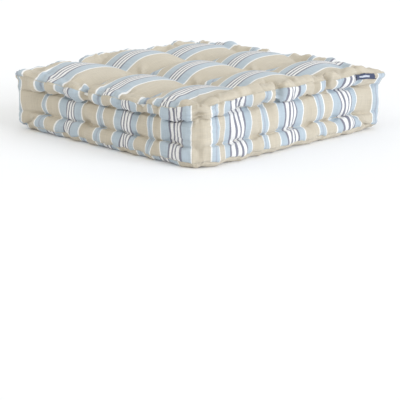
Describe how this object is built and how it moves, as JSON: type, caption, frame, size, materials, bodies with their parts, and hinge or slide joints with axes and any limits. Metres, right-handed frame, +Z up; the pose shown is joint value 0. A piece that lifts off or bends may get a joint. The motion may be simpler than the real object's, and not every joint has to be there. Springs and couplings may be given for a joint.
{
  "type": "chair seat pad",
  "caption": "Thick square box-edged seat pad in striped cotton, tufted by twine and side-stitched into rolled edges.",
  "frame": {"origin": "centre of the pad's footprint, on the surface it lies on", "axes": "+Z up through the tufts; the cloth's stripes run along Y; -Y is the front side and +X the right side, which carries the woven label"},
  "size_m": [0.4, 0.4, 0.107],
  "materials": {
    "cover_cloth": "matte",
    "fibre_filling": "matte",
    "wadding": "matte",
    "tuft_twine": "matte",
    "side_stitch_twine": "matte",
    "sewing_thread": "matte",
    "label_tape": "satin"
  },
  "bodies": {
    "root": {"top_panel": "cover_cloth", "bottom_panel": "cover_cloth", "border_front_right": "cover_cloth", "border_back_left": "cover_cloth", "fibre_core": "fibre_filling", "top_wadding": "wadding", "bottom_wadding": "wadding", "tuft_tie_1": "tuft_twine", "tuft_tie_2": "tuft_twine", "tuft_tie_3": "tuft_twine", "tuft_tie_4": "tuft_twine", "upper_side_stitch_front": "side_stitch_twine", "upper_side_stitch_right": "side_stitch_twine", "upper_side_stitch_back": "side_stitch_twine", "upper_side_stitch_left": "side_stitch_twine", "lower_side_stitch_front": "side_stitch_twine", "lower_side_stitch_right": "side_stitch_twine", "lower_side_stitch_back": "side_stitch_twine", "lower_side_stitch_left": "side_stitch_twine", "top_seam_thread": "sewing_thread", "bottom_seam_thread": "sewing_thread", "left_corner_seam_thread": "sewing_thread", "right_corner_seam_thread": "sewing_thread", "closing_stitch": "sewing_thread", "woven_label": "label_tape"}
  },
  "joints": []
}
